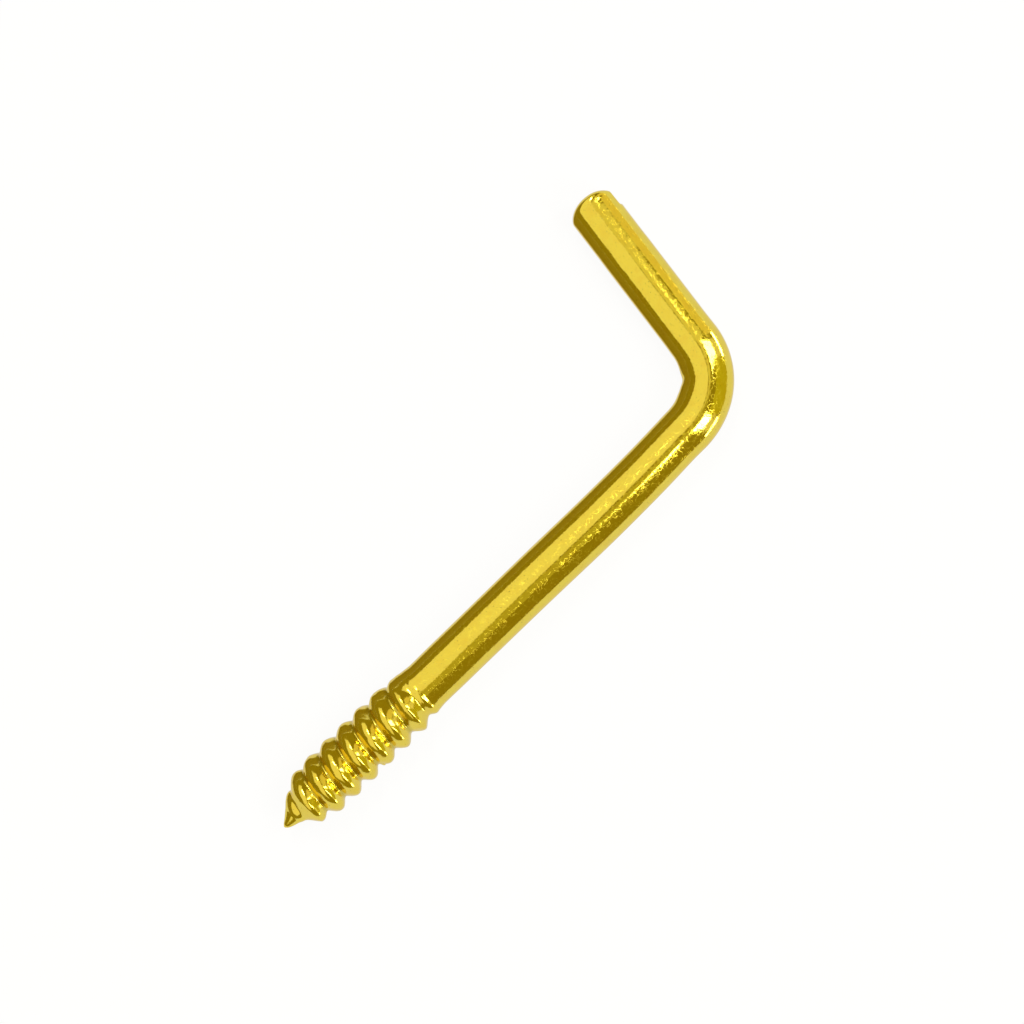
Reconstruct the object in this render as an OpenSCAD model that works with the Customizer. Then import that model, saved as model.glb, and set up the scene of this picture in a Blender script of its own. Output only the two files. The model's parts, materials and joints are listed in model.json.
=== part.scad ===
// Square screw hook, bent from one length of brass-plated steel wire.
// Frame: X runs along the shank from the point to the bend, Y towards the arm, Z out of the
// plane of the hook. The origin is on the shank's axis where the thread fades into the plain
// shank, so the hook lies flat on its thread, its bend and the end of its arm.

/* [Wire] */
// Diameter of the wire
wire_d = 4; // [3:0.1:6]

/* [Thread] */
// Length from the tip of the point to the end of the thread's run-out
thread_len = 15.9; // [12:0.1:30]
// Distance from one crest to the next
thread_pitch = 1.78; // [1.2:0.02:2.4]
// Angle by which the first crest is turned round the wire, from the arm's side
thread_start = 45; // [0:45:315]
// Height of the crests above the surface of the wire
crest_rise = 0.44; // [0.2:0.02:0.8]
// Depth of the roots below the surface of the wire
root_sink = 0.06; // [0.04:0.01:0.5]
// How far the circle of the roots lies off the wire's axis, towards the arm
root_shift = 0.1; // [0:0.01:0.2]
// Length of the tapered point
point_len = 4.7; // [3:0.1:8]
// How far cropping pushed the tip off the wire's axis, away from the arm
tip_shift = 0.25; // [0:0.01:0.5]
// Length at the tip of the point that has no thread
bare_tip = 1; // [0.5:0.1:2]
// Length over which the thread then grows to its full depth
growth_len = 1.4; // [0.5:0.1:4]
// Number of turns over which the crests fade into the shank
runout_turns = 1.5; // [0.5:0.1:3]
// Distance from the end of the thread at which its roots stop
root_stop = 0.9; // [0.4:0.1:2]
// Height of the collar that rolling pushed up where the roots stop
collar_rise = 0.06; // [0:0.01:0.15]
// Way that the thread turns
thread_hand = "left"; // [left, right]

/* [Shank and bend] */
// Length of the plain shank, from the thread to the bend
shank_len = 28; // [10:0.5:60]
// Radius on the inside of the bend
bend_inner_r = 3.25; // [1:0.05:8]
// Angle that the bend turns the wire through
bend_angle = 83.3; // [60:0.1:100]
// Extra radius of the wire round the bend, where bending upsets it
bend_swell = 0.05; // [0.02:0.01:0.2]

/* [Arm] */
// Length of the arm, from the bend to the top of its end
arm_len = 14; // [6:0.1:30]
// Height of the domed end that cropping leaves on the arm
end_crown = 1.2; // [0.3:0.1:1.4]
// Length of the flat that the cropping blade leaves on the outside of the arm
crop_flat_len = 2.4; // [1.5:0.1:4]
// Depth of that flat
crop_flat_depth = 0.16; // [0.05:0.01:0.4]

/* [Hidden] */
$fn = 96;

wire_r = wire_d / 2;
bend_wire_r = wire_r + bend_swell;
bend_r = bend_inner_r + bend_wire_r;
bend_seat = 0.1; // how far the straight stretches reach into the bend
crest_r = wire_r + crest_rise;
runout_len = runout_turns * thread_pitch;
runout_ease = 1.5; // above 1, the crests fade fast at first and then slowly
root_ramp = 0.5; // length over which the roots rise where they stop
shank_gap = 0.01; // how far the thread's last rings lie inside the shank's surface
dome_step = 6; // angle between the points of the arm's domed end

// The thread's surface is a stack of rings of points. Each ring is stepped in small ramps, so
// that the crests and roots, which climb as they turn, pass through a point at every angle.
rings_per_turn = 8;
steps_per_ramp = 4;
points_round = rings_per_turn * steps_per_ramp;
ring_gap = thread_pitch / rings_per_turn;
thread_seat = 2 * ring_gap; // how far the end of the thread's core reaches into the shank
ring_count = ceil((thread_len + thread_seat) / ring_gap);

// Share of its full radius that the wire has at a distance from the tip: a rounded point
function taper(dist) = sin(90 * min(1, dist / point_len));

// How far the middle of the point lies off the wire's axis
function lean(dist) = tip_shift * pow(max(0, 1 - dist / point_len), 3);

// Share of their full height that the crests have: they grow at the point, and they fade
// where the thread runs out
function crest_share(dist) =
    max(0, min(1, (dist - bare_tip) / growth_len))
    * pow(max(0, min(1, (thread_len - dist) / runout_len)), runout_ease);

// Share of their full depth that the roots have: they stop short of the end of the thread
function root_share(dist) = max(0, min(1, (thread_len - dist - root_stop) / root_ramp));

// Height of the collar where the roots stop
function collar(dist) =
    collar_rise * pow(sin(90 * max(0, min(2, (thread_len - dist) / root_stop))), 2);

// Radius at the roots, on a straight wire with no point
function root_r(dist, angle) =
    wire_r - shank_gap + collar(dist)
    + (shank_gap - root_sink + root_shift * cos(angle)) * root_share(dist);

// Section of the thread over one turn: round crests that meet in narrow roots
function ridge(turns) = abs(cos(180 * turns));

function thread_r(dist, angle) =
    let (low_r = root_r(dist, angle), turns = dist / thread_pitch + (thread_start - angle) / 360)
    low_r * taper(dist) + (crest_r - low_r) * crest_share(dist) * ridge(turns);

function ring_dist(ring, step) =
    ring_gap * (ring + 1 + (step % steps_per_ramp) / steps_per_ramp);

function ring_point(ring, step) =
    let (angle = 360 * step / points_round, dist = ring_dist(ring, step),
         r = thread_r(dist, angle))
    [dist - thread_len, r * cos(angle) - lean(dist), r * sin(angle)];

// Place of a ring's point in the list of points, which starts with the tip
function ring_index(ring, step) = 1 + ring * points_round + step % points_round;

module right_hand_thread() {
    last_ring = ring_count - 1;
    tip = 0;
    end_centre = 1 + ring_count * points_round;
    points = [
        [-thread_len, -tip_shift, 0],
        for (ring = [0 : last_ring], step = [0 : points_round - 1]) ring_point(ring, step),
        [ring_dist(last_ring, 0) - thread_len, 0, 0]
    ];
    faces = [
        for (step = [0 : points_round - 1]) each [
            [tip, ring_index(0, step), ring_index(0, step + 1)],
            [end_centre, ring_index(last_ring, step + 1), ring_index(last_ring, step)]
        ],
        for (ring = [0 : last_ring - 1], step = [0 : points_round - 1]) each [
            [ring_index(ring, step), ring_index(ring + 1, step + 1), ring_index(ring, step + 1)],
            [ring_index(ring, step), ring_index(ring + 1, step), ring_index(ring + 1, step + 1)]
        ]
    ];
    polyhedron(points = points, faces = faces, convexity = 10);
}

module thread() {
    if (thread_hand == "left") mirror([0, 0, 1]) right_hand_thread();
    else right_hand_thread();
}

module shank() {
    rotate([0, 90, 0]) cylinder(r = wire_r, h = shank_len + bend_seat);
}

module bend() {
    translate([shank_len, bend_r, 0])
        rotate(-90)
            rotate_extrude(angle = bend_angle)
                translate([bend_r, 0]) circle(r = bend_wire_r);
}

// Half of the arm's section along its length, with the curve of its domed end
module arm_profile() {
    polygon([
        [0, -bend_seat],
        [wire_r, -bend_seat],
        for (angle = [0 : dome_step : 90 - dome_step])
            [wire_r * cos(angle), arm_len - end_crown * (1 - sin(angle))],
        [0, arm_len]
    ]);
}

module arm() {
    translate([shank_len, bend_r, 0])
        rotate(bend_angle)
            translate([0, -bend_r, 0])
                difference() {
                    rotate([0, 90, 0]) rotate_extrude() arm_profile();
                    translate([arm_len - crop_flat_len, -wire_d, -wire_r])
                        cube([2 * crop_flat_len, wire_r + crop_flat_depth, wire_d]);
                }
}

module hook() {
    color("gold") {
        thread();
        shank();
        bend();
        arm();
    }
}

hook();
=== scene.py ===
"""Square screw hook in brass-plated steel wire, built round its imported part, with a plain stage."""

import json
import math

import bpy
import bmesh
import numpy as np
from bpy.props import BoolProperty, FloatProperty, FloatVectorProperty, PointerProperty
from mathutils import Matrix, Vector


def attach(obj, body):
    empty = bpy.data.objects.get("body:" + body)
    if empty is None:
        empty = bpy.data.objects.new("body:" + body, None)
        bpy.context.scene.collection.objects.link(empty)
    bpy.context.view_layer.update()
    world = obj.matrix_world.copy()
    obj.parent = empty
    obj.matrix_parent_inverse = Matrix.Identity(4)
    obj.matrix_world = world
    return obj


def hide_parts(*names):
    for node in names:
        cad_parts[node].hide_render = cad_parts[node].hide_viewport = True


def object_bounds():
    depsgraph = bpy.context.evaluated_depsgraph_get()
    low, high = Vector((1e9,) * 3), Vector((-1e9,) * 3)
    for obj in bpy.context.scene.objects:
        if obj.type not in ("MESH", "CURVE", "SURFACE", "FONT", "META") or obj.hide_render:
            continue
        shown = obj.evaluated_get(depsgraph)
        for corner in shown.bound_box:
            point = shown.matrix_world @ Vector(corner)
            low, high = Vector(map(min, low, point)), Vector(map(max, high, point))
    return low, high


bl_info = {
    "name": "Square Screw Hook",
    "version": (1, 0, 0),
    "blender": (4, 5, 0),
    "location": "3D View > Sidebar > Screw Hook",
    "description": "Makes a square screw hook with a rolled thread, and a plain stage to show it on",
    "category": "Object",
}

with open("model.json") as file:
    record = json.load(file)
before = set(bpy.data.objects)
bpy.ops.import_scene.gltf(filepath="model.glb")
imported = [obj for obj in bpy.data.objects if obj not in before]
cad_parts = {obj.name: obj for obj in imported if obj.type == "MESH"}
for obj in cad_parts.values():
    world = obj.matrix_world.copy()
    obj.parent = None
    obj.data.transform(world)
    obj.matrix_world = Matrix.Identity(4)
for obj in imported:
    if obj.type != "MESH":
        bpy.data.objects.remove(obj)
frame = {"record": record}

MM = 0.001
CAD_LOW, CAD_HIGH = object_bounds()

# What the frame says about the hook: the straight part of its arm is a mount, and so is the
# place where the thread fades into the shank, which is the origin. The bend's radius and the
# shank's length follow from where the arm starts.
ARM = next(mount for mount in frame["record"]["mounts"] if mount["name"] == "arm")
ARM_MIDDLE = Vector(ARM["pos_m"])
ARM_AXIS = Vector(ARM["axis"])
ARM_STRAIGHT = ARM["dims"]["length_mm"] * MM
WIRE_R = ARM["dims"]["r_mm"] * MM
BEND_ANGLE = math.atan2(ARM_AXIS.y, ARM_AXIS.x)
ARM_START = ARM_MIDDLE - ARM_AXIS * (ARM_STRAIGHT / 2)
BEND_R = ARM_START.y / (1 - math.cos(BEND_ANGLE))
BEND_ARC = BEND_R * BEND_ANGLE
SHANK_LEN = ARM_START.x - BEND_R * math.sin(BEND_ANGLE)

# The wire's mesh: how many points a ring has, and the gaps between rings on each stretch
POINTS_ROUND = 120
TIP_STRETCH = 0.6 * MM  # this much of the point has its rings closest together
TIP_RING_GAP = 0.03 * MM
THREAD_RING_GAP = 0.056 * MM
SHANK_RING_GAP = 0.13 * MM
BEND_RING_GAP = 0.09 * MM
END_RINGS = 40
MERGE_GAP = 1e-7  # points that lie nearer than this are made one

# Shape of the point, as distances from its tip
NOSE_LEN = 0.26 * MM  # length of its blunt nose
NOSE_LEAD = 0.22 * MM  # how far beyond the tip its taper would have come to nothing
LEAN_START = 0.2 * MM  # it leans over between these two
LEAN_END = 1.4 * MM
GROWTH_START = 1.1 * MM  # the crests grow between these two
GROWTH_END = 2.45 * MM

# Shape of the thread
ROOT_ROUNDING = 0.20  # at 0 the roots would be sharp
DRUNK_TURNS = 0.12  # how far the helix runs ahead of itself on one side, as it is rolled
WANDER_GRAIN = 0.85 * MM  # size of the spots where the rolls filled the crests less
WANDER_RANGE = (0.34, 0.66)  # of the noise, from full crests to the least full

# Shape of the thread where it runs out, as distances back from its end
FADE_START = 2.7 * MM  # the crests drop to their low share between these two
FADE_LOW = 1.6 * MM
LOW_SHARE = 0.35
LOW_START = 1.5 * MM  # and from there to nothing between these two
LOW_END = 0.8 * MM
ROOT_START = 1.7 * MM  # the roots rise to the plain wire between these two
ROOT_END = 1.05 * MM
COLLAR_START = 1.1 * MM  # the collar sinks to the plain wire between these two
COLLAR_END = 0.1 * MM
COLLAR_NARROWING = 4.0  # power that keeps the collar to the wire's inner and outer sides
DRIFT_START = 3.9 * MM  # the thread drifts on by this much between these two, as the rolls let go
DRIFT_END = 2.8 * MM
DRIFT = 0.17 * MM

# Shape of the arm's end
END_FULLNESS = 6.0  # power of the curve that rounds its edge

# Names of the attributes that the material reads
STRAIGHT_PLACE = "straight_place"
ROOT = "root"
STRAIN = "strain"


# ---------------------------------------------------------------- sizes and colours


class ScrewHookSizes(bpy.types.PropertyGroup):
    """Sizes of the wire, its thread, its bend and its two ends."""

    wire_r: FloatProperty(
        name="Wire radius", description="Radius of the plain wire",
        default=WIRE_R, min=0.001, unit="LENGTH", precision=5)
    thread_len: FloatProperty(
        name="Thread length", description="From the tip of the point to the end of the run-out",
        default=-CAD_LOW.x, min=0.001, unit="LENGTH", precision=5)
    crest_r: FloatProperty(
        name="Crest radius", description="Radius over the crests of the thread",
        default=CAD_HIGH.z, min=0.001, unit="LENGTH", precision=5)
    root_r: FloatProperty(
        name="Root radius", description="Radius at the roots of the thread",
        default=1.94 * MM, min=0.001, unit="LENGTH", precision=5)
    root_shift: FloatProperty(
        name="Root shift", description="How far the roots' circle lies off the axis",
        default=0.10 * MM, min=0.0, unit="LENGTH", precision=5)
    pitch: FloatProperty(
        name="Thread pitch", description="Distance from one crest to the next",
        default=1.78 * MM, min=0.0005, unit="LENGTH", precision=5)
    thread_start: FloatProperty(
        name="Thread start", description="Angle by which the first crest is turned",
        default=math.radians(48), subtype="ANGLE")
    left_hand: BoolProperty(
        name="Left-hand thread", description="Way that the thread turns", default=True)
    point_len: FloatProperty(
        name="Point length", description="Length of the tapered point",
        default=4.7 * MM, min=0.001, unit="LENGTH", precision=5)
    tip_shift: FloatProperty(
        name="Tip shift", description="How far cropping pushed the tip off the wire's axis",
        default=0.22 * MM, min=0.0, unit="LENGTH", precision=5)
    crest_wander: FloatProperty(
        name="Crest wander", description="How unevenly the rolls have pressed the thread",
        default=0.04 * MM, min=0.0, unit="LENGTH", precision=5)
    collar_rise: FloatProperty(
        name="Collar height", description="Height of the collar where the roots stop",
        default=0.08 * MM, min=0.0, unit="LENGTH", precision=5)
    end_crown: FloatProperty(
        name="End crown", description="Height of the domed end that cropping leaves on the arm",
        default=1.199 * MM, min=0.0001, unit="LENGTH", precision=5)
    crop_len: FloatProperty(
        name="Crop mark length", description="Length of the flat that the blade leaves",
        default=2.1 * MM, min=0.0, unit="LENGTH", precision=5)
    crop_depth: FloatProperty(
        name="Crop mark depth", description="Depth of the flat that the blade leaves",
        default=0.18 * MM, min=0.0, unit="LENGTH", precision=5)


def linear(hex_colour):
    """Turns an sRGB hex colour into the linear RGBA that shaders take."""
    parts = [int(hex_colour[i:i + 2], 16) / 255 for i in (1, 3, 5)]
    return [c / 12.92 if c <= 0.04045 else ((c + 0.055) / 1.055) ** 2.4 for c in parts] + [1.0]


class ScrewHookFinish(bpy.types.PropertyGroup):
    """Colours and gloss of the brass plating."""

    brass: FloatVectorProperty(
        name="Brass", description="Colour of the plating", subtype="COLOR", size=4,
        min=0.0, max=1.0, default=linear("#F6DE44"))
    copper_tint: FloatVectorProperty(
        name="Copper tint", description="Where the plating lies thin and shows more copper",
        subtype="COLOR", size=4, min=0.0, max=1.0, default=linear("#F2D038"))
    # Darker, duller colour that the plating takes deeper in the thread's roots and in random specks
    dull_tone: FloatVectorProperty(
        name="Dull tone", description="Dull brown residue in the roots and in fine scratches",
        subtype="COLOR", size=4, min=0.0, max=1.0, default=linear("#6E6214"))
    edge_tint: FloatVectorProperty(
        name="Edge tint", description="Colour of the plating where it is seen at a slant",
        subtype="COLOR", size=4, min=0.0, max=1.0, default=linear("#F6E488"))
    roughness: FloatProperty(
        name="Roughness", description="Roughness of the plain plating",
        default=0.07, min=0.0, max=1.0)
    thread_roughness: FloatProperty(
        name="Thread roughness", description="Roughness that the rolls leave on the thread",
        default=0.13, min=0.0, max=1.0)
    lacquer: FloatProperty(
        name="Lacquer", description="Share of the clear lacquer over the plating",
        default=1.0, min=0.0, max=1.0)


def add_node(tree, kind, inputs=None, **settings):
    """Adds a node with its settings, and links or fills its inputs."""
    node = tree.nodes.new(kind)
    for name, value in settings.items():
        setattr(node, name, value)
    for key, value in (inputs or {}).items():
        if isinstance(value, bpy.types.Node):
            value = value.outputs[0]
        if isinstance(value, bpy.types.NodeSocket):
            tree.links.new(value, node.inputs[key])
        else:
            node.inputs[key].default_value = value
    return node


# ---------------------------------------------------------------- the wire and its thread


def new_tree(name, inputs):
    """Starts a Geometry Nodes tree with named inputs of (socket kind, value)."""
    tree = bpy.data.node_groups.new(name, "GeometryNodeTree")
    tree.interface.new_socket("Geometry", in_out="INPUT", socket_type="NodeSocketGeometry")
    tree.interface.new_socket("Geometry", in_out="OUTPUT", socket_type="NodeSocketGeometry")
    for label, (kind, _) in inputs.items():
        tree.interface.new_socket(label, in_out="INPUT", socket_type="NodeSocket" + kind)
    return tree


def end_tree(tree, geometry, given):
    """Ends a tree with real geometry that has the given material."""
    real = add_node(tree, "GeometryNodeRealizeInstances", {0: geometry})
    finished = add_node(tree, "GeometryNodeSetMaterial", {
        "Geometry": real, "Material": given.outputs["Material"]})
    add_node(tree, "NodeGroupOutput", {0: finished})


def run_tree(tree, inputs, mesh, name):
    """Runs a tree on a mesh and returns the result as a plain mesh."""
    carrier = bpy.data.objects.new(name, mesh)
    bpy.context.scene.collection.objects.link(carrier)
    modifier = carrier.modifiers.new(tree.name, "NODES")
    modifier.node_group = tree
    for item in tree.interface.items_tree:
        if item.in_out == "INPUT" and item.name in inputs:
            modifier[item.identifier] = inputs[item.name][1]
    graph = bpy.context.evaluated_depsgraph_get()
    made = bpy.data.meshes.new_from_object(carrier.evaluated_get(graph))
    carrier.modifiers.clear()
    bpy.data.objects.remove(carrier)
    return made


def wire_stretches(sizes):
    """Length of each stretch of the wire and the gap between its rings, from the tip on."""
    return [
        (TIP_STRETCH, TIP_RING_GAP),
        (sizes.thread_len - TIP_STRETCH, THREAD_RING_GAP),
        (SHANK_LEN, SHANK_RING_GAP),
        (BEND_ARC, BEND_RING_GAP),
        (ARM_STRAIGHT, SHANK_RING_GAP),
    ]


def stretch_rings(sizes):
    """Number of rings along each stretch of the wire."""
    return [math.ceil(length / gap) for length, gap in wire_stretches(sizes)]


def tip_distance(tree, sizes, ring):
    """Distance from the tip, summed over the stretches that the rings have passed."""
    dist = add_node(tree, "ShaderNodeValue")
    start = 0
    for (length, _), count in zip(wire_stretches(sizes), stretch_rings(sizes)):
        passed = add_node(tree, "ShaderNodeMapRange", {
            "Value": ring, "From Min": start, "From Max": start + count, "To Max": length})
        dist = add_node(tree, "ShaderNodeMath", {0: dist, 1: passed})
        start += count
    return dist


def end_dome(tree, size, ring, first_ring, cosine):
    """Arm's end: pinched to a dome in the plane of the hook, and nearly full across it.

    Returns the share of the wire's radius that each ring keeps, and how far its points rise.
    """
    inward = add_node(tree, "ShaderNodeMapRange", {
        "Value": ring, "From Min": first_ring, "From Max": first_ring + END_RINGS,
        "To Min": math.pi / 2, "To Max": 0.0})
    inward = add_node(tree, "ShaderNodeMath", {0: inward}, operation="SINE")
    across = add_node(tree, "ShaderNodeMath", {0: inward, 1: cosine}, operation="MULTIPLY")
    pinch = add_node(tree, "ShaderNodeMath", {0: across, 1: across}, operation="MULTIPLY")
    pinch = add_node(tree, "ShaderNodeMath", {0: 1.0, 1: pinch}, operation="SUBTRACT")
    pinch = add_node(tree, "ShaderNodeMath", {0: pinch}, operation="SQRT")
    full = add_node(tree, "ShaderNodeMath", {0: inward, 1: END_FULLNESS}, operation="POWER")
    full = add_node(tree, "ShaderNodeMath", {0: 1.0, 1: full}, operation="SUBTRACT")
    full = add_node(tree, "ShaderNodeMath", {0: full, 1: 1 / END_FULLNESS}, operation="POWER")
    rise = add_node(tree, "ShaderNodeMath", {0: pinch, 1: full}, operation="MULTIPLY")
    rise = add_node(tree, "ShaderNodeMath", {0: rise, 1: size["End crown"]},
                    operation="MULTIPLY")
    return inward, rise


def point_taper(tree, size, dist):
    """Share of its radius that the point has: it tapers along a sine, and its nose is blunt."""
    taper = add_node(tree, "ShaderNodeMapRange", {
        "Value": dist, "From Min": -NOSE_LEAD, "From Max": size["Point length"],
        "To Max": math.pi / 2})
    taper = add_node(tree, "ShaderNodeMath", {0: taper}, operation="SINE")
    nose = add_node(tree, "ShaderNodeMapRange", {
        "Value": dist, "From Max": NOSE_LEN, "To Min": 1.0, "To Max": 0.0})
    nose = add_node(tree, "ShaderNodeMath", {0: nose, 1: nose}, operation="MULTIPLY")
    nose = add_node(tree, "ShaderNodeMath", {0: 1.0, 1: nose}, operation="SUBTRACT")
    nose = add_node(tree, "ShaderNodeMath", {0: nose}, operation="SQRT")
    return add_node(tree, "ShaderNodeMath", {0: taper, 1: nose}, operation="MULTIPLY")


def thread_ridge(tree, size, dist, to_end, turn, sine):
    """Section of the thread, once a turn: 1 on its round crests and 0 in its narrow roots."""
    drift = add_node(tree, "ShaderNodeMapRange", {
        "Value": to_end, "From Min": DRIFT_START, "From Max": DRIFT_END, "To Max": -DRIFT},
        interpolation_type="SMOOTHSTEP")
    turns = add_node(tree, "ShaderNodeMath", {0: dist, 1: drift})
    turns = add_node(tree, "ShaderNodeMath", {0: turns, 1: size["Thread pitch"]},
                     operation="DIVIDE")
    turns = add_node(tree, "ShaderNodeMath", {0: turn, 1: size["Hand"], 2: turns},
                     operation="MULTIPLY_ADD")
    turns = add_node(tree, "ShaderNodeMath", {0: sine, 1: DRUNK_TURNS, 2: turns},
                     operation="MULTIPLY_ADD")
    wave = add_node(tree, "ShaderNodeMath", {0: turns, 1: math.pi, 2: size["Half start angle"]},
                    operation="MULTIPLY_ADD")
    wave = add_node(tree, "ShaderNodeMath", {0: wave}, operation="COSINE")
    wave = add_node(tree, "ShaderNodeMath", {0: wave, 1: wave, 2: ROOT_ROUNDING ** 2},
                    operation="MULTIPLY_ADD")
    wave = add_node(tree, "ShaderNodeMath", {0: wave}, operation="SQRT")
    return add_node(tree, "ShaderNodeMapRange", {
        "Value": wave, "From Min": ROOT_ROUNDING, "From Max": math.hypot(1, ROOT_ROUNDING)})


def ridge_share(tree, dist, to_end):
    """Share of its height that the ridge has: it grows on the point, and fades in two steps."""
    growth = add_node(tree, "ShaderNodeMapRange", {
        "Value": dist, "From Min": GROWTH_START, "From Max": GROWTH_END})
    fade = add_node(tree, "ShaderNodeMapRange", {
        "Value": to_end, "From Min": FADE_LOW, "From Max": FADE_START, "To Min": LOW_SHARE},
        interpolation_type="SMOOTHSTEP")
    low_fade = add_node(tree, "ShaderNodeMapRange", {
        "Value": to_end, "From Min": LOW_END, "From Max": LOW_START},
        interpolation_type="SMOOTHSTEP")
    share = add_node(tree, "ShaderNodeMath", {0: growth, 1: fade}, operation="MULTIPLY")
    return add_node(tree, "ShaderNodeMath", {0: share, 1: low_fade}, operation="MULTIPLY")


def root_radius(tree, size, to_end, plain_r, cosine):
    """Radius at the roots: a circle a little off the axis, which stops at a raised collar."""
    sunk = add_node(tree, "ShaderNodeMapRange", {
        "Value": to_end, "From Min": ROOT_END, "From Max": ROOT_START},
        interpolation_type="SMOOTHSTEP")
    root = add_node(tree, "ShaderNodeMath", {0: cosine, 1: size["Root shift"]},
                    operation="MULTIPLY")
    root = add_node(tree, "ShaderNodeMath", {0: root, 1: size["Root sink"]},
                    operation="SUBTRACT")
    root = add_node(tree, "ShaderNodeMath", {0: root, 1: sunk, 2: plain_r},
                    operation="MULTIPLY_ADD")
    collar = add_node(tree, "ShaderNodeMapRange", {
        "Value": to_end, "From Min": COLLAR_END, "From Max": COLLAR_START,
        "To Max": size["Collar height"]}, interpolation_type="SMOOTHSTEP")
    past_roots = add_node(tree, "ShaderNodeMath", {0: 1.0, 1: sunk}, operation="SUBTRACT")
    side = add_node(tree, "ShaderNodeMath", {0: cosine, 1: COLLAR_NARROWING}, operation="POWER")
    collar = add_node(tree, "ShaderNodeMath", {0: collar, 1: side}, operation="MULTIPLY")
    return add_node(tree, "ShaderNodeMath", {0: collar, 1: past_roots, 2: root},
                    operation="MULTIPLY_ADD")


def uneven_fill(tree, size, dist, cosine, sine):
    """How far the rolls left the thread unfilled, from spot to spot."""
    spot = add_node(tree, "ShaderNodeCombineXYZ", {
        "X": dist, "Y": add_node(tree, "ShaderNodeMath", {
            0: size["Wire radius"], 1: cosine}, operation="MULTIPLY"),
        "Z": add_node(tree, "ShaderNodeMath", {
            0: size["Wire radius"], 1: sine}, operation="MULTIPLY")})
    wander = add_node(tree, "ShaderNodeTexNoise", {
        "Vector": spot, "Scale": 1 / WANDER_GRAIN, "Detail": 1.0})
    return add_node(tree, "ShaderNodeMapRange", {
        "Value": wander, "From Min": WANDER_RANGE[0], "From Max": WANDER_RANGE[1],
        "To Max": size["Crest wander"]})


def build_wire_tree(sizes, inputs):
    """Straight wire along X: a tapered point, a thread that fades into the shank, a domed end."""
    tree = new_tree("Threaded wire", inputs)
    given = add_node(tree, "NodeGroupInput")
    size = given.outputs
    end_start = sum(stretch_rings(sizes))
    rings = end_start + END_RINGS

    # A flat grid becomes the wire: its X counts rings and its Y goes once round.
    grid = add_node(tree, "GeometryNodeMeshGrid", {
        "Size X": rings, "Size Y": 1.0, "Vertices X": rings + 1, "Vertices Y": POINTS_ROUND + 1})
    place = add_node(tree, "ShaderNodeSeparateXYZ", {
        0: add_node(tree, "GeometryNodeInputPosition")})
    ring = add_node(tree, "ShaderNodeMath", {0: place.outputs["X"], 1: rings / 2})
    turn = add_node(tree, "ShaderNodeMath", {0: place.outputs["Y"], 1: 0.5})
    angle = add_node(tree, "ShaderNodeMath", {0: turn, 1: math.tau}, operation="MULTIPLY")
    cosine = add_node(tree, "ShaderNodeMath", {0: angle}, operation="COSINE")
    sine = add_node(tree, "ShaderNodeMath", {0: angle}, operation="SINE")
    dist = tip_distance(tree, sizes, ring)
    to_end = add_node(tree, "ShaderNodeMath", {0: size["Thread length"], 1: dist},
                      operation="SUBTRACT")

    # The core is the wire without its ridge: the roots' circle, tapered at the point
    inward, rise = end_dome(tree, size, ring, end_start, cosine)
    plain_r = add_node(tree, "ShaderNodeMath", {0: size["Wire radius"], 1: inward},
                       operation="MULTIPLY")
    root = root_radius(tree, size, to_end, plain_r, cosine)
    core_r = add_node(tree, "ShaderNodeMath", {0: root, 1: point_taper(tree, size, dist)},
                      operation="MULTIPLY")

    # The ridge stands on the core, and is filled unevenly
    share = ridge_share(tree, dist, to_end)
    wander = add_node(tree, "ShaderNodeMath", {
        0: uneven_fill(tree, size, dist, cosine, sine), 1: share}, operation="MULTIPLY")
    core_r = add_node(tree, "ShaderNodeMath", {0: core_r, 1: wander}, operation="SUBTRACT")
    ridge = thread_ridge(tree, size, dist, to_end, turn, sine)
    height = add_node(tree, "ShaderNodeMath", {0: size["Crest radius"], 1: root},
                      operation="SUBTRACT")
    height = add_node(tree, "ShaderNodeMath", {0: height, 1: share}, operation="MULTIPLY")
    radius = add_node(tree, "ShaderNodeMath", {0: ridge, 1: height, 2: core_r},
                      operation="MULTIPLY_ADD")

    # How deep in a root a point lies, for the darker, duller colour that the plating takes there
    depth = add_node(tree, "ShaderNodeMath", {0: 1.0, 1: ridge}, operation="SUBTRACT")
    depth = add_node(tree, "ShaderNodeMath", {0: depth, 1: share}, operation="MULTIPLY")
    grid = add_node(tree, "GeometryNodeStoreNamedAttribute", {
        "Geometry": grid, "Name": ROOT, "Value": depth}, data_type="FLOAT", domain="POINT")

    # From distance, angle and radius to a place, and the seam and the two poles closed
    along = add_node(tree, "ShaderNodeMath", {0: rise, 1: to_end}, operation="SUBTRACT")
    point = add_node(tree, "ShaderNodeCombineXYZ", {"X": along, "Y": radius})
    point = add_node(tree, "ShaderNodeVectorRotate", {"Vector": point, "Angle": angle},
                     rotation_type="X_AXIS")
    wire = add_node(tree, "GeometryNodeSetPosition", {"Geometry": grid, "Position": point})
    wire = add_node(tree, "GeometryNodeMergeByDistance", {
        "Geometry": wire, "Distance": MERGE_GAP})
    end_tree(tree, wire, given)
    return tree


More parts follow.
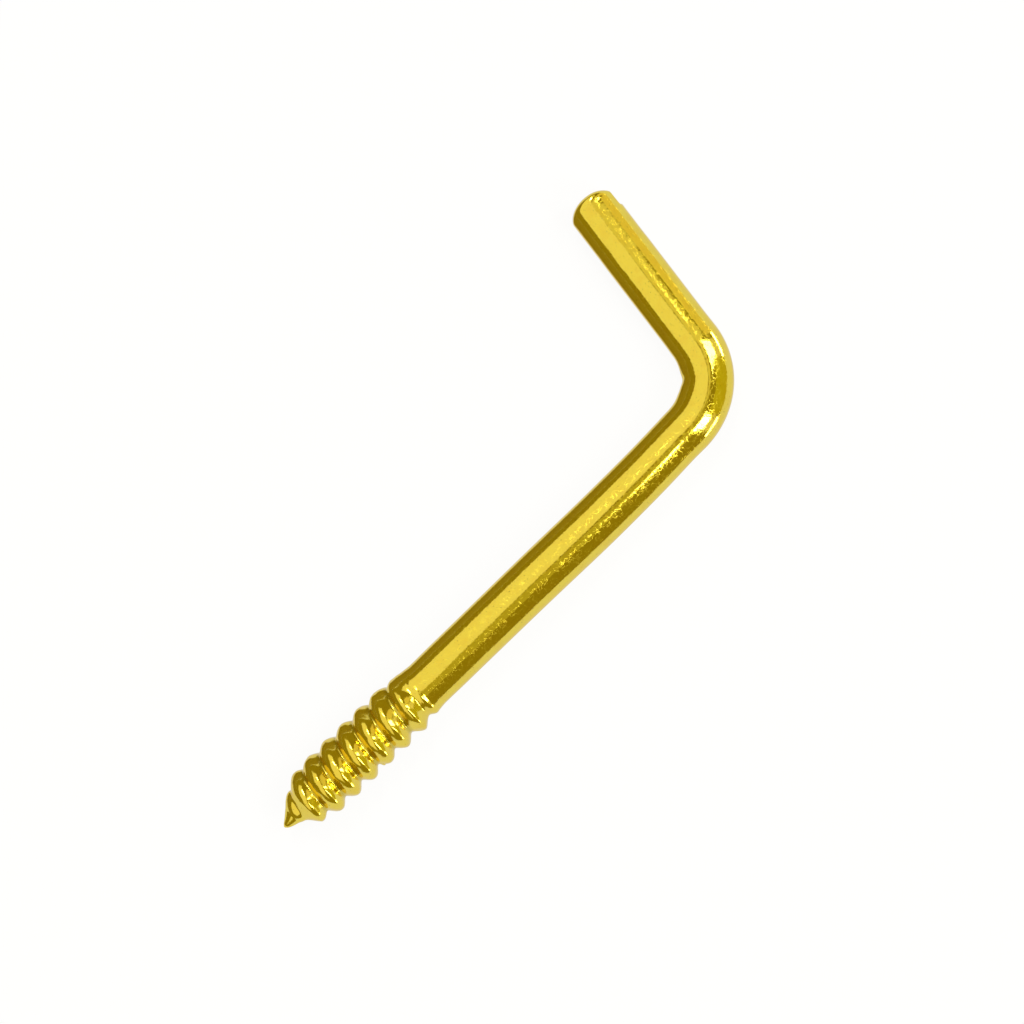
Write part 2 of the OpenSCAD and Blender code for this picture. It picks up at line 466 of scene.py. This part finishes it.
def build_bend_tree(inputs):
    """Bends a straight wire in the XY plane and keeps each point's straight place for patterns."""
    tree = new_tree("Wire bend", inputs)
    given = add_node(tree, "NodeGroupInput")
    size = given.outputs
    position = add_node(tree, "GeometryNodeInputPosition")
    kept = add_node(tree, "GeometryNodeStoreNamedAttribute", {
        "Geometry": size["Geometry"], "Name": STRAIGHT_PLACE, "Value": position},
        data_type="FLOAT_VECTOR", domain="POINT")
    along = add_node(tree, "ShaderNodeSeparateXYZ", {0: position}).outputs["X"]
    passed = add_node(tree, "ShaderNodeMath", {0: along, 1: size["Bend start"]},
                      operation="SUBTRACT")
    arc = add_node(tree, "ShaderNodeMath", {0: size["Bend radius"], 1: size["Bend angle"]},
                   operation="MULTIPLY")
    passed = add_node(tree, "ShaderNodeMath", {
        0: add_node(tree, "ShaderNodeMath", {0: passed, 1: 0.0}, operation="MAXIMUM"), 1: arc},
        operation="MINIMUM")
    drawn_back = add_node(tree, "ShaderNodeVectorMath", {
        0: position, 1: add_node(tree, "ShaderNodeCombineXYZ", {"X": passed})},
        operation="SUBTRACT")
    centre = add_node(tree, "ShaderNodeCombineXYZ", {
        "X": size["Bend start"], "Y": size["Bend radius"]})
    angle = add_node(tree, "ShaderNodeMath", {0: passed, 1: size["Bend radius"]},
                     operation="DIVIDE")
    place = add_node(tree, "ShaderNodeVectorRotate", {
        "Vector": drawn_back, "Center": centre, "Angle": angle}, rotation_type="Z_AXIS")
    bent = add_node(tree, "GeometryNodeSetPosition", {"Geometry": kept, "Position": place})
    end_tree(tree, bent, given)
    return tree


# ---------------------------------------------------------------- marks of drawing and bending

SAG = 0.06 * MM  # the shank sags by this much at the next place, and then curves up to the bend
SAG_PLACE = 17.8 * MM
SAG_WIDTH = 4.5 * MM
EARLY_BEND = 0.20 * MM  # how far the axis lies inside the bend's true circle near its start
EARLY_PLACE = SHANK_LEN + 0.5 * MM
EARLY_WIDTHS = (3.6 * MM, 3.9 * MM)  # before that place and after it

# How much thicker the plated wire is than its nominal size: all along, where the shank sags,
# and round the bend
WIRE_SWELL = 0.015 * MM
SHANK_SWELL = 0.045 * MM
SHANK_SWELL_WIDTH = 9 * MM
BEND_SWELL = 0.03 * MM
BEND_OVERRUN = 0.2  # how far the bend's swelling reaches past each end, as a share of its arc
BEND_EASE = 0.25  # and the share of the arc over which it grows
PLAIN_START = 2 * MM  # all the swelling grows over this length from the end of the thread
PLAIN_END = (3.2 * MM, 4.5 * MM)  # and fades between these distances from the arm's end

# Wrinkles on the inside of the bend: place and width as shares of its arc, and height in mm
RUCKLES = ((0.50, 0.60, 0.045), (0.33, 0.10, 0.035), (0.59, 0.08, -0.10), (0.80, 0.12, 0.02))
RUCKLE_NARROWING = 3  # power that keeps them to the inside
STRAIN_EASE = 0.25  # share of the arc over which the outside's strain grows and fades

# Burr across one root: its distance from the tip, and its angle up from the wire's outer side
BURR_RISE = 0.16 * MM
BURR_DIST = 8.93 * MM
BURR_WIDTH = 0.12 * MM
BURR_ANGLE = 0.1
BURR_SPREAD = 0.22
BURR_EDGE = 0.01  # where it is lower than this share of its height, the wire stays as it is

# The cropping blade's flat on the outside of the arm's end
CROP_RAMP = 0.14 * MM  # length of the slope that leads into it
CROP_SLOPE = 0.03  # how much deeper the flat gets towards the end, per length

# A lip beside the flat, and a burr behind it: distances from the end or from the flat, and
# angles outwards from the top of the wire
LIP_RISE = 0.07 * MM
LIP_REACH = 1.0 * MM
LIP_RAMP = 0.7 * MM
LIP_ANGLE = 0.42
LIP_SPREAD = 0.30
CROP_BURR_RISE = 0.003 * MM  # hardly any, so that the wire stays within the part's box
CROP_BURR_GAP = 0.2 * MM
CROP_BURR_WIDTH = 0.2 * MM
CROP_BURR_ANGLE = 1.5
CROP_BURR_SPREAD = 0.5


def smooth(share):
    """Eases a share from 0 to 1 at both ends."""
    share = np.clip(share, 0, 1)
    return share * share * (3 - 2 * share)


def bump(x, middle, width):
    """A smooth hump of height 1 round a middle."""
    return np.exp(-((x - middle) / width) ** 2)


def press_point(co, sizes):
    """Leans the point over, away from the arm, as the cropping blades do."""
    dist = co[:, 0] + sizes.thread_len
    co[:, 1] -= sizes.tip_shift * smooth((LEAN_END - dist) / (LEAN_END - LEAN_START))


def press_thread(co, sizes):
    """Raises the burr that the rolls left across one root, no higher than the crests."""
    dist = co[:, 0] + sizes.thread_len
    angle = np.arctan2(co[:, 2], -co[:, 1])
    burr = bump(dist, BURR_DIST, BURR_WIDTH) * bump(angle, BURR_ANGLE, BURR_SPREAD)
    radius = np.hypot(co[:, 1], co[:, 2])
    grown = np.minimum(radius + BURR_RISE * burr, sizes.crest_r) / np.maximum(radius, MERGE_GAP)
    co[:, 1:] *= np.where(burr > burr.max() * BURR_EDGE, grown, 1)[:, None]


def press_bend(co):
    """Swells the wire, ruckles the inside of the bend and lets the axis wander."""
    x = co[:, 0]
    reach = (x - SHANK_LEN) / BEND_ARC
    bent = smooth((reach + BEND_OVERRUN) / BEND_EASE)
    bent *= smooth((1 + BEND_OVERRUN - reach) / BEND_EASE)
    swell = WIRE_SWELL + SHANK_SWELL * bump(x, SAG_PLACE, SHANK_SWELL_WIDTH) + BEND_SWELL * bent
    back = SHANK_LEN + BEND_ARC + ARM_STRAIGHT - x
    swell *= smooth(x / PLAIN_START)
    swell *= smooth((back - PLAIN_END[0]) / (PLAIN_END[1] - PLAIN_END[0]))
    co[:, 1:] *= (1 + swell / WIRE_R)[:, None]

    # What height a wrinkle still has at an end of the bend runs on along the straight wire
    share = np.clip(reach, 0, 1)
    inside = np.clip(co[:, 1] / WIRE_R, 0, 1) ** RUCKLE_NARROWING
    for place, width, rise in RUCKLES:
        co[:, 1] += rise * MM * bump(share, place, width) * inside
    width = np.where(x < EARLY_PLACE, EARLY_WIDTHS[0], EARLY_WIDTHS[1])
    co[:, 1] += EARLY_BEND * bump(x, EARLY_PLACE, width) - SAG * bump(x, SAG_PLACE, SAG_WIDTH)


def press_crop(co, sizes):
    """Marks the arm's end as the cropping blades do: a lip, a burr and a flat outside it."""
    back = SHANK_LEN + BEND_ARC + ARM_STRAIGHT + sizes.end_crown - co[:, 0]
    radius = np.hypot(co[:, 1], co[:, 2])
    angle = np.arctan2(-co[:, 1], co[:, 2])
    lip = LIP_RISE * smooth((LIP_REACH - back) / LIP_RAMP) * bump(angle, LIP_ANGLE, LIP_SPREAD)
    burr = CROP_BURR_RISE * bump(back, sizes.crop_len + CROP_BURR_GAP, CROP_BURR_WIDTH)
    burr *= bump(angle, CROP_BURR_ANGLE, CROP_BURR_SPREAD)
    co[:, 1:] *= (1 + (lip + burr) / np.maximum(radius, sizes.wire_r / 2))[:, None]
    share = smooth((sizes.crop_len - back) / CROP_RAMP)
    depth = sizes.crop_depth + CROP_SLOPE * np.clip(sizes.crop_len - back, 0, None)
    flat = -sizes.wire_r + depth * share
    co[:, 1] = np.where(share > 0, np.maximum(co[:, 1], flat), co[:, 1])


def strain_of(co):
    """Share of the most that the skin is stretched, on the outside of the bend."""
    reach = (co[:, 0] - SHANK_LEN) / BEND_ARC
    outside = np.clip(-co[:, 1] / WIRE_R, 0, 1)
    return smooth(reach / STRAIN_EASE) * smooth((1 - reach) / STRAIN_EASE) * outside


def finish_mesh(mesh):
    """Closes seams, points the faces outwards and smooths the shading."""
    work = bmesh.new()
    work.from_mesh(mesh)
    bmesh.ops.remove_doubles(work, verts=work.verts, dist=MERGE_GAP)
    bmesh.ops.recalc_face_normals(work, faces=work.faces)
    work.to_mesh(mesh)
    work.free()
    mesh.polygons.foreach_set("use_smooth", [True] * len(mesh.polygons))
    mesh.update()


# ---------------------------------------------------------------- materials

# Grain of the plating's patterns. Real drawing lines lie about 0.03 mm apart and the finest
# specks are narrower still, which is too fine to show, so both are drawn coarser.
DRAWN_LEN = 6.0 * MM
DRAWN_GAP = 0.16 * MM
PEEL_GRAIN = 0.26 * MM
WAVE_GRAIN = 1.6 * MM
TINT_GRAIN = 0.9 * MM
SPECK_GRAIN = 0.12 * MM
CURL_GRAIN = 0.42 * MM

# What part of each pattern counts, from none to all of it, and how much it does at most
THIN_RANGE = (0.45, 0.75)
THIN_TINT = 0.6
DULL_ROOT_RANGE = (0.70, 1.0)
DULL_ROOT_TINT = 0.35
SPECK_RANGE = (0.68, 0.76)
SPECK_TINT = 0.55
PATCH_RANGE = (0.3, 0.7)
PATCH_SHARES = (0.75, 1.3)  # of the roughness, where the peel is low and where it is high
CURL_RANGE = (0.010, 0.035)  # off the noise's middle, and here from all of it to none
CURL_ROUGHNESS = 0.15
DULL_ROUGHNESS = 0.25
LACQUER_ROUGHNESS = 0.05

# Heights under the lacquer: the peel's, and the others' as shares of it
PEEL_HEIGHT = 0.005 * MM
LINE_SHARE = 0.35
WAVE_SHARE = 1.6
STRAINED_SHARE = 1.6  # what is added to the peel where the skin is stretched most

# Stage materials: white paper and a dyed card
PAPER_IN_METAL = 0.76  # how bright the metal sees the paper, where the eye sees 1
PAPER_GLOW = 0.93  # share of the paper that glows its own white; the rest takes the shadow
CARD_ROUGHNESS = 0.9


def plate_colour(tree, finish, place):
    """Colour of the plating: more copper where it lies thin, and darker and duller deeper in the
    roots and in specks.

    Returns the colour, and the share of the dull tone in it.
    """
    tint = add_node(tree, "ShaderNodeTexNoise", {
        "Vector": place, "Scale": 1 / TINT_GRAIN, "Detail": 3.0})
    thin = add_node(tree, "ShaderNodeMapRange", {
        "Value": tint, "From Min": THIN_RANGE[0], "From Max": THIN_RANGE[1],
        "To Max": THIN_TINT})
    colour = add_node(tree, "ShaderNodeMix", {
        "Factor": thin, "A": list(finish.brass), "B": list(finish.copper_tint)},
        data_type="RGBA")
    root = add_node(tree, "ShaderNodeAttribute", attribute_name=ROOT).outputs["Fac"]
    dull = add_node(tree, "ShaderNodeMapRange", {
        "Value": root, "From Min": DULL_ROOT_RANGE[0], "From Max": DULL_ROOT_RANGE[1],
        "To Max": DULL_ROOT_TINT})
    specks = add_node(tree, "ShaderNodeTexNoise", {
        "Vector": place, "Scale": 1 / SPECK_GRAIN, "Detail": 1.0})
    speck = add_node(tree, "ShaderNodeMapRange", {
        "Value": specks, "From Min": SPECK_RANGE[0], "From Max": SPECK_RANGE[1],
        "To Max": SPECK_TINT})
    dull = add_node(tree, "ShaderNodeMath", {0: dull, 1: speck}, operation="MAXIMUM")
    colour = add_node(tree, "ShaderNodeMix", {
        "Factor": dull, "A": colour.outputs["Result"], "B": list(finish.dull_tone)},
        data_type="RGBA")
    return colour.outputs["Result"], dull


def plate_roughness(tree, finish, place, peel, dull):
    """Roughness of the plating: more on the thread, where the colour is dull and along the lacquer's
    curls.
    """
    along = add_node(tree, "ShaderNodeSeparateXYZ", {0: place}).outputs["X"]
    plain = add_node(tree, "ShaderNodeMapRange", {
        "Value": along, "From Min": -COLLAR_START, "From Max": 0.0})
    rough = add_node(tree, "ShaderNodeMapRange", {
        "Value": plain, "To Min": finish.thread_roughness, "To Max": finish.roughness})
    patchy = add_node(tree, "ShaderNodeMapRange", {
        "Value": peel, "From Min": PATCH_RANGE[0], "From Max": PATCH_RANGE[1],
        "To Min": PATCH_SHARES[0], "To Max": PATCH_SHARES[1]})
    rough = add_node(tree, "ShaderNodeMath", {0: rough, 1: patchy}, operation="MULTIPLY")
    rough = add_node(tree, "ShaderNodeMath", {0: dull, 1: DULL_ROUGHNESS, 2: rough},
                     operation="MULTIPLY_ADD")

    # Fine curls on the plain wire: the thin lines along which a noise crosses its middle
    curls = add_node(tree, "ShaderNodeTexNoise", {
        "Vector": place, "Scale": 1 / CURL_GRAIN, "Detail": 1.0})
    curls = add_node(tree, "ShaderNodeMath", {0: curls, 1: 0.5}, operation="SUBTRACT")
    curls = add_node(tree, "ShaderNodeMath", {0: curls}, operation="ABSOLUTE")
    curls = add_node(tree, "ShaderNodeMapRange", {
        "Value": curls, "From Min": CURL_RANGE[0], "From Max": CURL_RANGE[1],
        "To Min": CURL_ROUGHNESS, "To Max": 0.0})
    return add_node(tree, "ShaderNodeMath", {0: curls, 1: plain, 2: rough},
                    operation="MULTIPLY_ADD")


def plate_relief(tree, place, peel):
    """Relief of the plating: drawing lines, long waves, and a peel that rises with strain."""
    drawn = add_node(tree, "ShaderNodeMapping", {
        "Vector": place, "Scale": (1 / DRAWN_LEN, 1 / DRAWN_GAP, 1 / DRAWN_GAP)})
    lines = add_node(tree, "ShaderNodeTexNoise", {"Vector": drawn, "Scale": 1.0, "Detail": 3.0})
    waves = add_node(tree, "ShaderNodeTexNoise", {
        "Vector": place, "Scale": 1 / WAVE_GRAIN, "Detail": 1.0})
    height = add_node(tree, "ShaderNodeMath", {0: lines, 1: LINE_SHARE}, operation="MULTIPLY")
    height = add_node(tree, "ShaderNodeMath", {0: waves, 1: WAVE_SHARE, 2: height},
                      operation="MULTIPLY_ADD")
    strain = add_node(tree, "ShaderNodeAttribute", attribute_name=STRAIN).outputs["Fac"]
    peel_share = add_node(tree, "ShaderNodeMath", {0: strain, 1: STRAINED_SHARE, 2: 1.0},
                          operation="MULTIPLY_ADD")
    height = add_node(tree, "ShaderNodeMath", {0: peel, 1: peel_share, 2: height},
                      operation="MULTIPLY_ADD")
    return add_node(tree, "ShaderNodeBump", {
        "Height": height, "Distance": PEEL_HEIGHT, "Strength": 1.0})


def brass_plate(finish):
    """Bright brass, electro-plated on drawn steel wire, under clear lacquer.

    The wire under the plating is drawn, so lines run along it. The plating lays down a fine
    orange peel over them, and the lacquer has dried in fine curls. Each lamp is then seen as a
    band with a ragged edge, and not as a clean stripe.
    """
    material = bpy.data.materials.new("electro_brass_on_drawn_wire")
    material.use_nodes = True
    tree = material.node_tree
    shader = tree.nodes["Principled BSDF"]
    place = add_node(tree, "ShaderNodeAttribute", attribute_name=STRAIGHT_PLACE)
    place = place.outputs["Vector"]
    peel = add_node(tree, "ShaderNodeTexNoise", {
        "Vector": place, "Scale": 1 / PEEL_GRAIN, "Detail": 2.5, "Roughness": 0.55})
    colour, dull = plate_colour(tree, finish, place)
    rough = plate_roughness(tree, finish, place, peel, dull)
    relief = plate_relief(tree, place, peel)
    tree.links.new(colour, shader.inputs["Base Color"])
    tree.links.new(rough.outputs[0], shader.inputs["Roughness"])
    tree.links.new(relief.outputs[0], shader.inputs["Normal"])
    tree.links.new(relief.outputs[0], shader.inputs["Coat Normal"])
    shader.inputs["Metallic"].default_value = 1.0
    shader.inputs["Specular Tint"].default_value = list(finish.edge_tint)
    shader.inputs["Coat Weight"].default_value = finish.lacquer
    shader.inputs["Coat Roughness"].default_value = LACQUER_ROUGHNESS
    return material


def pale_floor():
    """White paper, matt: it shows white to the eye and pale in the metal, and keeps the shadow."""
    material = bpy.data.materials.new("white_paper")
    material.use_nodes = True
    tree = material.node_tree
    tree.nodes.clear()
    paper = add_node(tree, "ShaderNodeBsdfDiffuse", {"Color": linear("#FAFAFA")})
    path = add_node(tree, "ShaderNodeLightPath")
    bright = add_node(tree, "ShaderNodeMapRange", {
        "Value": path.outputs["Is Camera Ray"], "To Min": PAPER_IN_METAL, "To Max": 1.0})
    glow = add_node(tree, "ShaderNodeEmission", {"Strength": bright})
    seen = add_node(tree, "ShaderNodeMath", {
        0: path.outputs["Is Camera Ray"], 1: path.outputs["Is Glossy Ray"]}, operation="MAXIMUM")
    seen = add_node(tree, "ShaderNodeMath", {
        0: seen, 1: path.outputs["Is Transmission Ray"]}, operation="MAXIMUM")
    share = add_node(tree, "ShaderNodeMath", {0: seen, 1: PAPER_GLOW}, operation="MULTIPLY")
    mixed = add_node(tree, "ShaderNodeMixShader", {0: share, 1: paper, 2: glow})
    add_node(tree, "ShaderNodeOutputMaterial", {"Surface": mixed})
    return material


def painted_reflection_card():
    """Dark olive matt card that only the metal sees: its colour paints the dark reflection band on
    the metal's inner sides.
    """
    material = bpy.data.materials.new("painted_reflection_card")
    material.use_nodes = True
    shader = material.node_tree.nodes["Principled BSDF"]
    # painted reflection: this is the colour of the dark band that the metal's inner sides show
    shader.inputs["Base Color"].default_value = linear("#81740E")
    shader.inputs["Roughness"].default_value = CARD_ROUGHNESS
    return material


# ---------------------------------------------------------------- the hook


class SCREWHOOK_OT_hook(bpy.types.Operator):
    """Make the hook: the threaded wire, its bend and its plating"""

    bl_idname = "screwhook.hook"
    bl_label = "Make hook"

    def execute(self, context):
        sizes = context.scene.screw_hook_sizes
        material = brass_plate(context.scene.screw_hook_finish)
        wire_inputs = {
            "Wire radius": ("Float", sizes.wire_r),
            "Thread length": ("Float", sizes.thread_len),
            "Thread pitch": ("Float", sizes.pitch),
            "Half start angle": ("Float", sizes.thread_start / 2),
            "Crest radius": ("Float", sizes.crest_r),
            "Crest wander": ("Float", sizes.crest_wander),
            "Root sink": ("Float", sizes.wire_r - sizes.root_r),
            "Root shift": ("Float", sizes.root_shift),
            "Collar height": ("Float", sizes.collar_rise),
            "Hand": ("Float", 1.0 if sizes.left_hand else -1.0),
            "Point length": ("Float", sizes.point_len),
            "End crown": ("Float", sizes.end_crown),
            "Material": ("Material", material),
        }
        bend_inputs = {
            "Bend start": ("Float", SHANK_LEN),
            "Bend radius": ("Float", BEND_R),
            "Bend angle": ("Float", BEND_ANGLE),
            "Material": ("Material", material),
        }
        blank = bpy.data.meshes.new("blank")
        mesh = run_tree(build_wire_tree(sizes, wire_inputs), wire_inputs, blank, "wire_blank")
        co = np.empty(len(mesh.vertices) * 3)
        mesh.vertices.foreach_get("co", co)
        co = co.reshape(-1, 3)
        mesh.attributes.new(STRAIN, "FLOAT", "POINT").data.foreach_set("value", strain_of(co))
        press_point(co, sizes)
        press_thread(co, sizes)
        press_bend(co)
        press_crop(co, sizes)
        mesh.vertices.foreach_set("co", co.ravel())
        mesh = run_tree(build_bend_tree(bend_inputs), bend_inputs, mesh, "straight_wire")
        finish_mesh(mesh)
        hook = bpy.data.objects.new("screw_hook", mesh)
        context.scene.collection.objects.link(hook)
        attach(hook, "root")
        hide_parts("hook")
        return {"FINISHED"}


# ---------------------------------------------------------------- stage

FRAME_WIDTH = 79.53 * MM  # width that the camera sees at the hook's middle plane
VIEW_CENTRE = Vector((13.838 * MM, 5.046 * MM, 0.0))  # point of that plane in the middle
CAMERA_HEIGHT = 300 * MM
SHANK_SLANT = math.radians(44.12)  # slope of the shank across the picture
SENSOR_WIDTH = 36.0  # in the millimetres that a camera counts in

GROUND = CAD_LOW.z
FLOOR_HALF = 3.0  # half the floor's width
SHANK_CARD_GAP = 5.0 * MM  # how far the card's edges lie from the wire's axis
ARM_CARD_GAP = 4.0 * MM
CARD_REACH = 0.5  # length of its sides
CARD_LIFT = 0.05 * MM  # how far the card lies above the floor

WORLD_COLOUR = "#FFE640"
WORLD_STRENGTH = 0.28
SOFTBOX_HEIGHT = 0.6
SOFTBOX_SPAN = 60  # degrees from straight up to the softbox's far edge
SOFTBOX_LENGTH = 2.4
SOFTBOX_RADIANCE = 0.63
LAMP_REACH = 0.6  # how far the lamps stand from the hook

# Lamps: name, azimuth from and to and polar angle from and to in degrees, radiance, colour
LAMPS = (
    ("upper_right_high", 20, 34, 20, 54, 7.0, "#FFFFFF"),
    ("upper_right_low", 19, 36, 82, 104, 10.0, "#FFFFFF"),
    ("upper_right_base", 19, 33, 18, 108, 0.50, "#FFFFFF"),
    ("lower_right_high", -33, -22, 22, 54, 12.0, "#FFFFFF"),
    ("lower_right_low", -36, -22, 82, 104, 7.0, "#FFFFFF"),
    ("lower_right_base", -34, -22, 18, 108, 0.50, "#FFFFFF"),
    ("right_middle", -22, 19, 34, 96, 0.235, "#F8F850"),
    ("upper_left", 102, 115, 22, 40, 20.0, "#FFFFFF"),
    ("right_fill_high", 37, 60, 4, 52, 0.47, "#FFFCE0"),
    ("right_fill_low", 37, 60, 52, 94, 0.50, "#FFF0C4"),
    ("overhead_fill", -75, -22, 4, 34, 0.20, "#F2F29A"),
)


def picture_direction(azimuth, polar):
    """Direction at an angle from the picture's right, and an angle from straight up."""
    turn = math.radians(azimuth) - SHANK_SLANT
    lean = math.radians(polar)
    return Vector((math.sin(lean) * math.cos(turn), math.sin(lean) * math.sin(turn),
                   math.cos(lean)))


def set_camera(scene):
    """Camera straight above the hook, turned so that the shank slopes as it should."""
    camera = bpy.data.cameras.new("camera")
    camera.sensor_width = SENSOR_WIDTH
    camera.lens = SENSOR_WIDTH * CAMERA_HEIGHT / FRAME_WIDTH
    stand = bpy.data.objects.new("camera", camera)
    stand.location = VIEW_CENTRE + Vector((0, 0, CAMERA_HEIGHT))
    stand.rotation_euler = (0.0, 0.0, -SHANK_SLANT)
    scene.collection.objects.link(stand)
    scene.camera = stand


def add_sheet(name, corners, material):
    """Adds a flat sheet of the stage, with its face up."""
    mesh = bpy.data.meshes.new(name)
    mesh.from_pydata(corners, [], [range(len(corners))])
    mesh.materials.append(material)
    sheet = bpy.data.objects.new(name, mesh)
    bpy.context.scene.collection.objects.link(sheet)
    return sheet


def lay_floor():
    """Wide floor that the hook lies on."""
    add_sheet("floor", [
        (-FLOOR_HALF, -FLOOR_HALF, GROUND), (FLOOR_HALF, -FLOOR_HALF, GROUND),
        (FLOOR_HALF, FLOOR_HALF, GROUND), (-FLOOR_HALF, FLOOR_HALF, GROUND)], pale_floor())


def lay_card():
    """Card that fills the inside of the hook's corner, and that only the metal sees: it paints a dark
    reflection band into the metal's inner sides.
    """
    arm_foot = Vector((ARM_START.x, ARM_START.y, 0))
    inward = Vector((-ARM_AXIS.y, ARM_AXIS.x, 0))
    beside = arm_foot + inward * ARM_CARD_GAP
    corner = beside + ARM_AXIS * ((SHANK_CARD_GAP - beside.y) / ARM_AXIS.y)
    along_arm = ARM_AXIS * CARD_REACH
    along_shank = Vector((-CARD_REACH, 0, 0))
    above = Vector((0, 0, GROUND + CARD_LIFT))
    card = add_sheet("card", [
        corner + above, corner + along_arm + above,
        corner + along_arm + along_shank + above, corner + along_shank + above], painted_reflection_card())
    # hidden from the camera, from light and from shadow, so that it is only a painted reflection in
    # the metal
    card.visible_camera = False
    card.visible_diffuse = False
    card.visible_shadow = False
    card.visible_transmission = False


def light_world(scene):
    """Plain dim world, for what no lamp or sheet covers."""
    world = bpy.data.worlds.new("studio")
    scene.world = world
    world.use_nodes = True
    background = world.node_tree.nodes["Background"]
    background.inputs["Color"].default_value = linear(WORLD_COLOUR)
    background.inputs["Strength"].default_value = WORLD_STRENGTH


def add_lamp(name, size, radiance, colour):
    """Adds a rectangular lamp of a given radiance, which the camera doesn't see."""
    lamp = bpy.data.lights.new(name, "AREA")
    lamp.shape = "RECTANGLE"
    lamp.size, lamp.size_y = size
    lamp.energy = radiance * math.pi * size[0] * size[1]
    lamp.color = linear(colour)[:3]
    stand = bpy.data.objects.new(name, lamp)
    stand.visible_camera = False
    bpy.context.scene.collection.objects.link(stand)
    return stand


def hang_softbox():
    """Wide softbox over the picture's left, with its edge straight above the hook."""
    width = SOFTBOX_HEIGHT * math.tan(math.radians(SOFTBOX_SPAN))
    box = add_lamp("left_softbox", (width, SOFTBOX_LENGTH), SOFTBOX_RADIANCE, "#FFFFFF")
    box.location = VIEW_CENTRE + picture_direction(180, 90) * (width / 2)
    box.location.z = SOFTBOX_HEIGHT
    box.rotation_euler = (0.0, 0.0, -SHANK_SLANT)


def set_lamps():
    """Smaller soft lamps and fills round the hook, each turned to it."""
    for name, left, right, top, bottom, radiance, colour in LAMPS:
        azimuth = (left + right) / 2
        polar = (top + bottom) / 2
        across = math.radians(right - left) * math.sin(math.radians(polar))
        upright = math.radians(bottom - top)
        size = (2 * LAMP_REACH * math.tan(across / 2), 2 * LAMP_REACH * math.tan(upright / 2))
        lamp = add_lamp(name, size, radiance, colour)
        direction = picture_direction(azimuth, polar)
        lamp.location = VIEW_CENTRE + direction * LAMP_REACH
        lamp.rotation_euler = direction.to_track_quat("Z", "Y").to_euler()


class SCREWHOOK_OT_stage(bpy.types.Operator):
    """Make the stage: floor, card, lamps, world and camera"""

    bl_idname = "screwhook.stage"
    bl_label = "Make stage"

    def execute(self, context):
        scene = context.scene
        scene.view_settings.view_transform = "Standard"
        set_camera(scene)
        lay_floor()
        lay_card()
        light_world(scene)
        hang_softbox()
        set_lamps()
        return {"FINISHED"}


# ---------------------------------------------------------------- panel and start


class SCREWHOOK_PT_panel(bpy.types.Panel):
    """Sizes, finish and operators of the hook"""

    bl_idname = "SCREWHOOK_PT_panel"
    bl_label = "Square Screw Hook"
    bl_space_type = "VIEW_3D"
    bl_region_type = "UI"
    bl_category = "Screw Hook"

    def draw(self, context):
        layout = self.layout
        layout.operator(SCREWHOOK_OT_hook.bl_idname)
        layout.operator(SCREWHOOK_OT_stage.bl_idname)
        for group in (context.scene.screw_hook_sizes, context.scene.screw_hook_finish):
            for name in group.__annotations__:
                layout.prop(group, name)


CLASSES = (ScrewHookSizes, ScrewHookFinish, SCREWHOOK_OT_hook, SCREWHOOK_OT_stage,
           SCREWHOOK_PT_panel)


def register():
    for one in CLASSES:
        bpy.utils.register_class(one)
    bpy.types.Scene.screw_hook_sizes = PointerProperty(type=ScrewHookSizes)
    bpy.types.Scene.screw_hook_finish = PointerProperty(type=ScrewHookFinish)


def unregister():
    del bpy.types.Scene.screw_hook_finish
    del bpy.types.Scene.screw_hook_sizes
    for one in reversed(CLASSES):
        bpy.utils.unregister_class(one)


def main():
    register()
    bpy.ops.screwhook.hook()
    bpy.ops.screwhook.stage()


if __name__ == "__main__":
    main()
